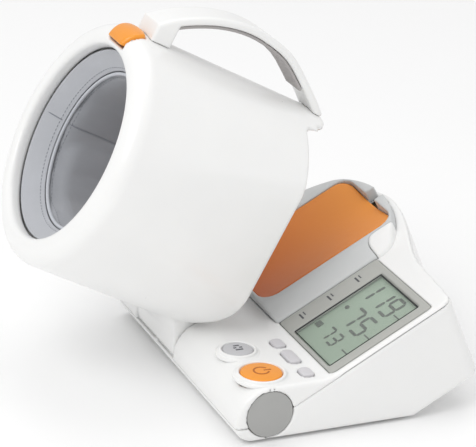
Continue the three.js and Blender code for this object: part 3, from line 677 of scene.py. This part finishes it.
def case_shell(x, y, z):
    body = case_body(x, y, z)
    pocket = pocket_field(x, y, z)
    h = depth_of(y, z)
    s = deck_s(y, z)
    reach = np.hypot(y, z)
    hollow = np.maximum(body + CASE_T, CASE_T - pocket)
    shell = rmax(body, -pocket, 0.8)
    shell = np.maximum(shell, -hollow)
    window = np.maximum(box2(x, s, *DISPLAY, 2.5) - 0.45, -h - 12.0)
    seat = np.maximum(cradle_plan(x, s), -h - DECK_DROP - 1.2)
    latch = np.maximum(latch_slot(x, s), np.abs(h) - 20.0)
    bush = np.maximum(reach - 8.4, np.maximum(np.abs(x) - 66.0, 34.0 - np.abs(x)))
    caps = np.maximum(reach - CAP_R - 0.4, np.minimum(CASE_RIGHT - 3.0 - x, x - CASE_LEFT - 3.0))
    cuts = np.minimum(np.minimum(window, seat), np.minimum(latch, np.minimum(bush, caps)))
    for spec in (START, MEMORY):
        cuts = np.minimum(cuts, np.maximum(round_button(x, y, spec, 1.2), -z))
    for _, cx, half in SMALL_KEYS:
        plan = box2(x, y, cx, SMALL_Y, half, SMALL_HALF_Y, 3.2) - 0.45
        cuts = np.minimum(cuts, np.maximum(plan, 5.0 - z))
    return rmax(shell, -cuts, 0.5)


def above(y, z):
    """Everything above the parting surface between cover and tray."""
    return np.maximum(PART_Z - z, -depth_of(y, z) - PART_DROP)


def cover_field(x, y, z):
    return rmax(case_shell(x, y, z), above(y, z) + PART_GAP, 0.5)


def tray_field(x, y, z):
    shell = case_shell(x, y, z)
    jack_x, jack_z, jack_r = JACK
    height = z * math.cos(WALL_LEAN) - y * math.sin(WALL_LEAN)
    jack = np.maximum(np.hypot(x - jack_x, height - jack_z) - jack_r, 130.0 - along_wall(y, z))
    return rmax(np.maximum(shell, -jack), PART_GAP - above(y, z), 0.5)


def on_slope(field):
    """The same field, read in the deck's frame."""
    def turned(x, s, h):
        return field(x, s * math.cos(DECK) - h * math.sin(DECK), s * math.sin(DECK) + h * math.cos(DECK))
    return turned


CASE_STEP = 1.4
moulded("case_cover", on_slope(cover_field), (-82, -30, -8), (148, 182, 30), CASE_STEP, ON_DECK,
        "base", "cover", ["upper_cover"])
moulded("case_tray", on_slope(tray_field), (-82, -32, -67), (148, 182, 5), CASE_STEP, ON_DECK,
        "base", "cover", ["lower_case"])


def collar_field(spec):
    """The raised collar round a round key."""
    def field(x, y, z):
        d = np.hypot(x - spec[0], y - spec[1]) - spec[2]
        ring = rmax(np.abs(d - 1.6) - 1.1, z - DECK_Z - 2.3, 1.0)
        skirt = rmax(np.abs(d - 2.6) - 2.1, z - DECK_Z - 0.12, 0.1)
        return np.maximum(rmin(ring, skirt, 1.4), DECK_Z - 2.0 - z)
    return field


for collar_name, spec in (("start_collar", START), ("memory_collar", MEMORY)):
    reach = spec[2] + 5
    moulded(collar_name, collar_field(spec), (spec[0] - reach, spec[1] - reach, DECK_Z - 2),
            (spec[0] + reach, spec[1] + reach, DECK_Z + 2.4), 0.6, BASE, "base", "cover")


def cap_field(x, y, z):
    r = np.hypot(y, z)
    face = x - CASE_RIGHT - 0.1 + (r / CAP_R) ** 2 * 0.5
    return rmax(np.maximum(r - CAP_R, CASE_RIGHT - 2.4 - x), face, 0.7)


moulded("cap_right", cap_field, (CASE_RIGHT - 3, -17, -17), (CASE_RIGHT + 1, 17, 17), 0.5, BASE,
        "base", "cap", ["hinge_cap_right"])
moulded("cap_left", lambda x, y, z: cap_field(CASE_LEFT + CASE_RIGHT - x, y, z),
        (CASE_LEFT - 1, -17, -17), (CASE_LEFT + 3, 17, 17), 0.5, BASE,
        "base", "cap", ["hinge_cap_left"])


# ---------------------------------------------------------------- cradle and elbow rest
def cradle_field(x, s, h):
    plan = rmax(cradle_plan(x, s) + 0.35, h - CRADLE_TOP, 1.6)
    right_slope = (h + 2.7) * 0.884 + (x - CRADLE_RIGHT) * 0.467
    left_slope = (h + 2.7) * 0.968 + (-x - 76.0) * 0.252
    body = rmax(rmax(plan, right_slope, 2.0), left_slope, 2.0)
    body = np.maximum(body, -4.2 - h)
    well = np.maximum(box2(x, s, *ELBOW) - 0.45, -2.75 - h)
    return rmax(rmax(body, -well, 0.8), -latch_slot(x, s), 0.6)


def lobe(x, s):
    """Plan of the white block that covers the cradle's right rear corner."""
    return rmax(BLOCK_CORNER[0] - x, BLOCK_CORNER[1] - s, 9.0)


def flank_field(x, s, h):
    return rmax(cradle_field(x, s, h), -lobe(x, s) + 0.15, 0.5)


def block_field(x, s, h):
    return rmax(rmax(cradle_field(x, s, h) - 0.7, h - CRADLE_TOP, 0.5), lobe(x, s) + 0.15, 1.4)


# the cradle strip takes the painted-shade grey; its white block keeps the cover white
moulded("cradle_trim", flank_field, (-80, 46, -5), (60, 168, 7), 1.1, ON_DECK,
        "base", "flank", ["cradle"])
moulded("cradle_block", block_field, (40, 128, -5), (61, 168, 7), 0.8, ON_DECK, "base", "cover")


def elbow_field(x, s, h):
    dish = 118.0 - np.hypot(x, h - CRADLE_TOP - 118.0 + 7.0)
    rim = rmax(box2(x, s, *ELBOW), h - CRADLE_TOP + 0.3, 1.6)
    return np.maximum(rmax(rim, dish, 1.6), -2.4 - h)


moulded("elbow_pad", elbow_field, (-40, 49, -3), (40, 159, 6), 0.9, ON_DECK,
        "base", "elbow", ["elbow_rest"])


# ---------------------------------------------------------------- display
FRAME_TOP = -DECK_DROP + 0.5


def bezel_field(x, s, h):
    rim = rmax(box2(x, s, *DISPLAY, 2.2), h - FRAME_TOP, 0.7)
    opening = box2(x, s, *OPENING, 1.6) - np.maximum(0.0, h - FRAME_TOP + 1.6) * 0.7
    return np.maximum(rmax(rim, -opening, 0.25), FRAME_TOP - 3.0 - h)


moulded("display_bezel", bezel_field, (58, 48, FRAME_TOP - 3), (142, 130, FRAME_TOP), 0.62, ON_DECK,
        "base", "bezel", ["display_frame"])

SEGMENTS = {
    "a": (0.0, 1.0, True), "g": (0.0, 0.5, True), "d": (0.0, 0.0, True),
    "f": (0.0, 0.75, False), "b": (1.0, 0.75, False), "e": (0.0, 0.25, False), "c": (1.0, 0.25, False),
}
SHAPES = {"1": "bc", "3": "abgcd", "5": "afgcd", "7": "abc", "9": "abcdfg"}


def digit(char, x, s, width, height, thick):
    """Seven-segment outlines, up the slope of the deck, leaning a little."""
    lines = []
    half = thick / 2
    for key in SHAPES[char]:
        u, v, flat = SEGMENTS[key]
        run = (width / 2 if flat else height / 4) - 0.3
        across = x + (width / 2 if flat else u * width)
        up_by = s + v * height
        tips = [(-run, 0), (half - run, -half), (run - half, -half),
                (run, 0), (run - half, half), (half - run, half)]
        if not flat:
            tips = [(-b, a) for a, b in tips]
        lines.append([(across + a + (up_by + b - s) * 0.09, up_by + b) for a, b in tips])
    return lines


def rect(a0, b0, a1, b1):
    return [(a0, b0), (a1, b0), (a1, b1), (a0, b1)]


def ink_piece(name, outlines, h0, h1, where, body, mat):
    verts, faces = prism(outlines, h0, h1)
    return add_piece(name, verts, faces, where, body, mat, smooth=False)


PANEL_TOP = FRAME_TOP - 3.0 - 0.35
rows = []
READINGS = (                           # text, places across, place up the deck, size
    ("119", (77.6, 93.2, 108.0), 103.3, (10.0, 16.5, 2.2)),
    ("75", (91.5, 107.5), 80.0, (10.4, 16.5, 2.2)),
    ("73", (92.5, 104.0), 63.0, (7.0, 10.5, 1.6)),
)
for text, xs, s, size in READINGS:
    for char, x in zip(text, xs):
        rows += digit(char, x, s, *size)
marks = [rect(122.0, s, 129.0, s + 1.0) for s in (66.0, 84.0, 108.0)]
marks += [rect(79.0 + 1.7 * i, 66.0, 80.1 + 1.7 * i, 71.0) for i in range(4)]
heart = [(84.0 + 1.9 * math.cos(t) * (1.0 if math.sin(t) < 0 else 1.15), 90.5 + 1.7 * math.sin(t))
         for t in np.linspace(0, 2 * math.pi, 18, endpoint=False)]
ink_piece("lcd_digits", rows + marks + [heart], PANEL_TOP + 0.1, PANEL_TOP + 0.3, ON_DECK,
          "base", "digit")

# painted shadow: thin dark strips round the LCD's inner edge stand in for the shade the recessed frame casts
# on the panel
window_edge_shadow = [rect(77.0, 52.0, 78.1, 123.5), rect(78.1, 122.4, 133.5, 123.5),
          rect(132.9, 52.0, 133.5, 122.4), rect(78.1, 52.0, 132.9, 52.6)]
ink_piece("window_edge_painted_shadow", window_edge_shadow, FRAME_TOP - 0.78, FRAME_TOP - 0.55, ON_DECK, "base", "dark")

strip = []
for s in (62.0, 85.0, 108.0):
    strip.append(rect(64.0, s, 71.0, s + 1.3))
    strip.append(rect(64.0, s + 3.2, 68.5, s + 4.1))
ink_piece("bezel_marks", strip, FRAME_TOP - 0.05, FRAME_TOP + 0.08, ON_DECK, "base", "ink")


# ---------------------------------------------------------------- keys
def round_key(name, spec, mat, node, body):
    def field(x, y, z):
        d = np.hypot(x - spec[0], y - spec[1])
        top = z - DECK_Z - KEY_TOP + (d / spec[2]) ** 2 * 0.9
        head = np.maximum(rmax(d - spec[2], top, 1.2), DECK_Z - 3.0 - z)
        stem = np.maximum(np.maximum(d - 4.0, DECK_Z - KEY_DEPTH - z), z - DECK_Z)
        return np.minimum(head, stem)
    r = spec[2]
    moulded(name, field, (spec[0] - r, spec[1] - r, DECK_Z - KEY_DEPTH),
            (spec[0] + r, spec[1] + r, DECK_Z + 3), 0.6, BASE, body, mat, [node])


round_key("start_cap", START, "orange", "start_button", "start_key")
round_key("memory_cap", MEMORY, "key_dark", "memory_button", "memory_key")


def key_field(cx, half):
    def field(x, y, z):
        plan = box2(x, y, cx, SMALL_Y, half, SMALL_HALF_Y, 3.0)
        top = z - DECK_Z - 1.3 + ((y - SMALL_Y) / SMALL_HALF_Y) ** 2 * 0.35
        head = np.maximum(rmax(plan, top, 0.7), DECK_Z - 3.0 - z)
        stem = np.maximum(np.hypot(x - cx, y - SMALL_Y) - 2.5, DECK_Z - KEY_DEPTH - z)
        return np.minimum(head, np.maximum(stem, z - DECK_Z))
    return field


for key_name, cx, half in SMALL_KEYS:
    moulded(f"{key_name}_cap", key_field(cx, half), (cx - half, SMALL_Y - 5, DECK_Z - KEY_DEPTH),
            (cx + half, SMALL_Y + 5, DECK_Z + 1.4), 0.5, BASE, f"{key_name}_key", "key",
            [f"{key_name}_button"])


def arc_band(cx, cy, r, width, start, end):
    """Outline of a round band, between two angles in degrees."""
    angles = np.linspace(math.radians(start), math.radians(end), 20)
    outer = r + width / 2
    inner = r - width / 2
    return ([(cx + outer * math.cos(a), cy + outer * math.sin(a)) for a in angles]
            + [(cx + inner * math.cos(a), cy + inner * math.sin(a)) for a in angles[::-1]])


def centred(cx, cy, hx, hy):
    return rect(cx - hx, cy - hy, cx + hx, cy + hy)


MARK_LOW = DECK_Z + KEY_TOP - 0.45
MARK_HIGH = DECK_Z + KEY_TOP - 0.01
power_ring = [arc_band(START[0], START[1], 5.0, 1.3, 120, 420),
              centred(START[0], START[1] + 4.2, 0.65, 2.6)]
bars = [centred(MEMORY[0] + d, MEMORY[1], 0.8, h) for d, h in ((-3.0, 2.0), (0.0, 3.2), (3.0, 2.6))]
ink_piece("start_mark", power_ring, MARK_LOW, MARK_HIGH, BASE, "start_key", "orange_dark")
ink_piece("memory_mark", bars, MARK_LOW, MARK_HIGH, BASE, "memory_key", "ink")

# ---------------------------------------------------------------- inner nodes keep their shape
NODE_MATS = {
    "display_window": "glass", "display_panel": "lcd", "hinge_shaft": "metal", "hinge_bush_left": "dark",
    "hinge_bush_right": "dark", "main_board": "board", "air_pump": "metal", "exhaust_valve": "dark",
    "pressure_sensor": "dark", "air_hose": "rubber", "dc_jack": "dark", "exit_cover": "shell",
    "arm_tube": "cover", "liner_ring": "cover", "cuff_hose": "rubber",
    "latch_rod": "metal", "latch_hook": "dark",
    **{f"rubber_foot_{i}": "rubber" for i in range(1, 5)},
    **{f"case_screw_{i}": "metal" for i in range(1, 5)},
}
for node, mat in NODE_MATS.items():
    obj = frame["nodes"][node]
    if obj.data.materials:
        obj.data.materials[0] = MATS[mat]
    else:
        obj.data.materials.append(MATS[mat])

# ---------------------------------------------------------------- fabric
RINGS = 144


def lathe(profile, wobble=None):
    """A closed ring of (radius, length) points turned about the barrel axis."""
    verts = []
    faces = []
    m = len(profile)
    for i in range(RINGS):
        a = 2 * math.pi * i / RINGS
        for r, l in profile:
            q = r + (wobble(a, l) if wobble else 0.0)
            verts.append((q * math.sin(a), l, LIFT + q * math.cos(a)))
    for i in range(RINGS):
        j = (i + 1) % RINGS
        for k in range(m):
            n = (k + 1) % m
            faces.append([i * m + k, j * m + k, j * m + n, i * m + n])
    return verts, faces


def along_line(points, spacing):
    """A closed profile with extra points, so that no gap is longer than the spacing."""
    out = []
    for (a, b), (c, d) in zip(points, points[1:] + points[:1]):
        n = max(1, round(math.hypot(c - a, d - b) / spacing))
        out += [(a + (c - a) * i / n, b + (d - b) * i / n) for i in range(n)]
    return out


CLOTH_FRAMES = 20


def puff(obj, cap, pinned, voxel, pressure):
    """Blow a fabric ring up as cloth with its ends held, cap the move, and smooth once.

    With a voxel size the ring is first remeshed evenly.
    """
    scene = bpy.context.scene
    bpy.context.view_layer.objects.active = obj
    for other in bpy.context.selected_objects:
        other.select_set(False)
    obj.select_set(True)
    if voxel:
        remesh = obj.modifiers.new("remesh", "REMESH")
        remesh.mode = "VOXEL"
        remesh.voxel_size = voxel
        bpy.ops.object.modifier_apply(modifier=remesh.name)
    mesh = obj.data
    start = np.zeros(len(mesh.vertices) * 3)
    mesh.vertices.foreach_get("co", start)
    start = start.reshape(-1, 3)
    group = obj.vertex_groups.new(name="held")
    for i in np.flatnonzero(pinned(start)):
        group.add([int(i)], 1.0, "REPLACE")
    cloth = obj.modifiers.new("cloth", "CLOTH")
    cloth.settings.use_pressure = True
    cloth.settings.uniform_pressure_force = pressure
    cloth.settings.effector_weights.gravity = 0.0
    cloth.settings.vertex_group_mass = "held"
    cloth.settings.quality = 6
    cloth.point_cache.frame_start = 1
    cloth.point_cache.frame_end = CLOTH_FRAMES
    for number in range(1, CLOTH_FRAMES + 1):
        scene.frame_set(number)
    graph = bpy.context.evaluated_depsgraph_get()
    moved_mesh = obj.evaluated_get(graph).to_mesh()
    moved = np.zeros(len(moved_mesh.vertices) * 3)
    moved_mesh.vertices.foreach_get("co", moved)
    moved = moved.reshape(-1, 3)
    obj.modifiers.remove(cloth)
    scene.frame_set(1)
    delta = moved - start
    length = np.maximum(np.linalg.norm(delta, axis=1), 1e-9)
    delta *= np.minimum(1.0, cap / length)[:, None]
    mesh.vertices.foreach_set("co", (start + delta).ravel())
    mesh.update()
    rounder = obj.modifiers.new("smooth", "SUBSURF")
    rounder.levels = 1
    rounder.render_levels = 1
    bpy.ops.object.modifier_apply(modifier=rounder.name)
    obj.data.shade_smooth()


def barrel_l(points):
    """Length along the barrel axis of row-frame points, in millimetres."""
    back = np.array(ON_BARREL.inverted())
    return points @ back[1, :3] + back[1, 3]


def cuff_wobble(a, l):
    """Soft folds of the cuff: two waves round the barrel, drifting a little along it."""
    return 0.9 * math.sin(5 * a + 0.05 * l) + 0.6 * math.sin(9 * a - 0.09 * l + 1.0)


def held_beyond(front, rear):
    """Picks the points in front of one length and behind the other."""
    return lambda points: (barrel_l(points) < front) | (barrel_l(points) > rear)


collar_profile = [(67.9, -141.5), (67.9, -134.5), (65.0, -131.5), (64.8, WELT_L - 0.6), (56.4, WELT_L - 0.6),
                  (58.8, -130.8), (62.4, -135.0), (65.8, -138.8)]
verts, faces = lathe(along_line(collar_profile, 2.4))
collar = add_piece("collar_fabric", verts, faces, ON_BARREL, "barrel", "collar",
                   nodes=["liner_collar"])
puff(collar, 0.0012, held_beyond(-139.0, -129.0), None, 3.0)

cuff_profile = [(62.5, WELT_L + 0.4), (63.0, -100.0), (63.0, -60.0), (63.5, -34.0), (64.0, -17.5),
                (60.5, -17.5), (57.0, -27.0), (53.8, -40.0), (52.8, -55.0), (52.6, -70.0),
                (52.6, -85.0), (52.6, -100.0), (52.8, -119.0), (54.6, WELT_L + 0.4)]
verts, faces = lathe(cuff_profile, cuff_wobble)
cuff = add_piece("cuff_pad", verts, faces, ON_BARREL, "barrel", "fabric",
                 nodes=["cuff_throat", "cuff_liner", "cuff_tail", "air_bladder"])
puff(cuff, 0.004, held_beyond(-122.0, -24.0), 0.005, 4.0)


def swell(obj):
    """The bladder panel below the seam stands out from the cuff's inner face, with rounded corners."""
    mesh = obj.data
    co = np.zeros(len(mesh.vertices) * 3)
    mesh.vertices.foreach_get("co", co)
    back = np.array(ON_BARREL.inverted())
    local = co.reshape(-1, 3) @ back[:3, :3].T + back[:3, 3]
    radial = np.stack([local[:, 0], local[:, 2] - LIFT], 1)
    reach = np.linalg.norm(radial, axis=1)
    angle = np.mod(np.arctan2(radial[:, 0], radial[:, 1]) - SEAM, 2 * math.pi)
    below = CUFF_R * (2 * math.pi - angle)
    round_edge = rmax(9.0 - below, below - 250.0, 12.0)
    long_edge = rmax(WELT_L + 6.5 - local[:, 1], local[:, 1] + 40.0, 10.0)
    edge = rmax(round_edge, long_edge, 12.0)
    from_seam = np.minimum(angle, 2 * math.pi - angle) * CUFF_R
    inner = reach < CUFF_R + 7.0
    rise = 3.6 * np.clip(-edge / 7.0, 0, 1) ** 0.5 * inner
    groove = 0.9 * np.exp(-(from_seam / 1.6) ** 2) * inner
    local[:, [0, 2]] += (radial / reach[:, None]) * (groove - rise)[:, None]
    matrix = np.array(ON_BARREL)
    mesh.vertices.foreach_set("co", (local @ matrix[:3, :3].T + matrix[:3, 3]).ravel())
    mesh.update()


swell(cuff)

trees = [BVHTree.FromPolygons([v.co for v in o.data.vertices], [p.vertices for p in o.data.polygons])
         for o in (collar, cuff)]


def bore_radius(a, l):
    """Radius of the fabric's inner face at an angle and length, in millimetres."""
    start = ON_BARREL @ Vector((0.0, l, LIFT))
    ray = (ON_BARREL.to_3x3() @ Vector((math.sin(a), 0.0, math.cos(a)))).normalized()
    found = [tree.ray_cast(start, ray)[3] for tree in trees]
    return min([d for d in found if d is not None] or [0.06]) / MM


def ring_path(r, l, n=120):
    path = []
    for i in range(n):
        a = 2 * math.pi * i / n
        radial = np.array((math.sin(a), 0.0, math.cos(a)))
        path.append((radial * r + np.array((0.0, l, LIFT)), radial, (0.0, 1.0, 0.0)))
    return path


def tidy_normals(obj):
    work = bmesh.new()
    work.from_mesh(obj.data)
    bmesh.ops.recalc_face_normals(work, faces=work.faces)
    work.to_mesh(obj.data)
    work.free()


verts, faces = sweep(ring_path(55.4, WELT_L), circle(1.2, 14))
tidy_normals(add_piece("collar_piping", verts, faces, ON_BARREL, "barrel", "piping"))


def bead(verts, faces, path, sizes, sides=6):
    """A spindle of varying thickness along a path, closed at both ends."""
    start = len(verts)
    for (point, side, out), k in zip(path, sizes):
        verts += [point + np.array(side) * u * k + np.array(out) * v * k for u, v in circle(1.0, sides)]
    last = start + (len(path) - 1) * sides
    for i in range(len(path) - 1):
        for k in range(sides):
            q = (k + 1) % sides
            a = start + i * sides
            faces.append([a + k, a + sides + k, a + sides + q, a + q])
    faces.append([start + k for k in range(sides)])
    faces.append([last + k for k in range(sides - 1, -1, -1)])


verts = []
faces = []
for l, count in ((WELT_L - 3.6, 130), (WELT_L + 3.4, 118)):
    for i in range(count):
        a = 2 * math.pi * i / count
        radial = np.array((math.sin(a), 0.0, math.cos(a)))
        around = np.array((math.cos(a), 0.0, -math.sin(a)))
        middle = radial * (bore_radius(a, l) + 0.05) + np.array((0.0, l, LIFT))
        stitch = [(middle + around * d, radial, (0.0, 1.0, 0.0)) for d in (-0.95, -0.5, 0.0, 0.5, 0.95)]
        bead(verts, faces, stitch, (0.12, 0.3, 0.34, 0.3, 0.12))
tidy_normals(add_piece("collar_stitches", verts, faces, ON_BARREL, "barrel", "thread"))

verts = []
faces = []
for l0, l1 in ((-138.5, WELT_L - 2.0), (WELT_L + 2.0, -26.0)):
    steps = np.arange(l0, l1, 1.5)
    radii = np.convolve([bore_radius(SEAM, l) for l in steps], np.ones(3) / 3, "same")
    radii[0] = bore_radius(SEAM, steps[0])
    radii[-1] = bore_radius(SEAM, steps[-1])
    radial = np.array((math.sin(SEAM), 0.0, math.cos(SEAM)))
    around = np.array((math.cos(SEAM), 0.0, -math.sin(SEAM)))
    path = [(radial * (r - 0.05) + np.array((0.0, l, LIFT)), around, radial) for l, r in zip(steps, radii)]
    bead(verts, faces, path, [0.12] + [0.42] * (len(path) - 2) + [0.12], 8)
tidy_normals(add_piece("cuff_seam", verts, faces, ON_BARREL, "barrel", "thread"))

# ---------------------------------------------------------------- floor and light
floor_mesh = bpy.data.meshes.new("floor")
floor_mesh.from_pydata([(-8, -8, 0), (8, -8, 0), (8, 8, 0), (-8, 8, 0)], [], [[0, 1, 2, 3]])
floor = bpy.data.objects.new("floor", floor_mesh)
bpy.context.collection.objects.link(floor)
floor_look = Nodes("floor_white")
floor_look.set(Base_Color=floor_look.ramp(floor_look.noise(3.0), (0.94, 0.94, 0.94), (0.95, 0.95, 0.95)),
               Roughness=0.9)
floor_mesh.materials.append(floor_look.material)

world = bpy.context.scene.world or bpy.data.worlds.new("world")
bpy.context.scene.world = world
world.use_nodes = True
background = world.node_tree.nodes["Background"]
background.inputs["Color"].default_value = (1.0, 1.0, 1.0, 1.0)
background.inputs["Strength"].default_value = 0.72

TARGET = PIVOT + Vector((0.0, 0.0, 0.07))


def softbox(name, offset, size, power):
    data = bpy.data.lights.new(name, "AREA")
    data.shape = "SQUARE"
    data.size = size
    data.energy = power
    lamp = bpy.data.objects.new(name, data)
    bpy.context.collection.objects.link(lamp)
    lamp.location = TARGET + Vector(offset)
    lamp.rotation_euler = (-Vector(offset)).to_track_quat("-Z", "Y").to_euler()


softbox("key", (0.7, -1.3, 1.7), 1.2, 15.0)
softbox("fill", (1.5, 1.0, 0.8), 1.4, 1.5)
softbox("top", (-0.5, 0.3, 2.1), 1.5, 9.0)

bpy.context.scene.view_settings.view_transform = "Standard"
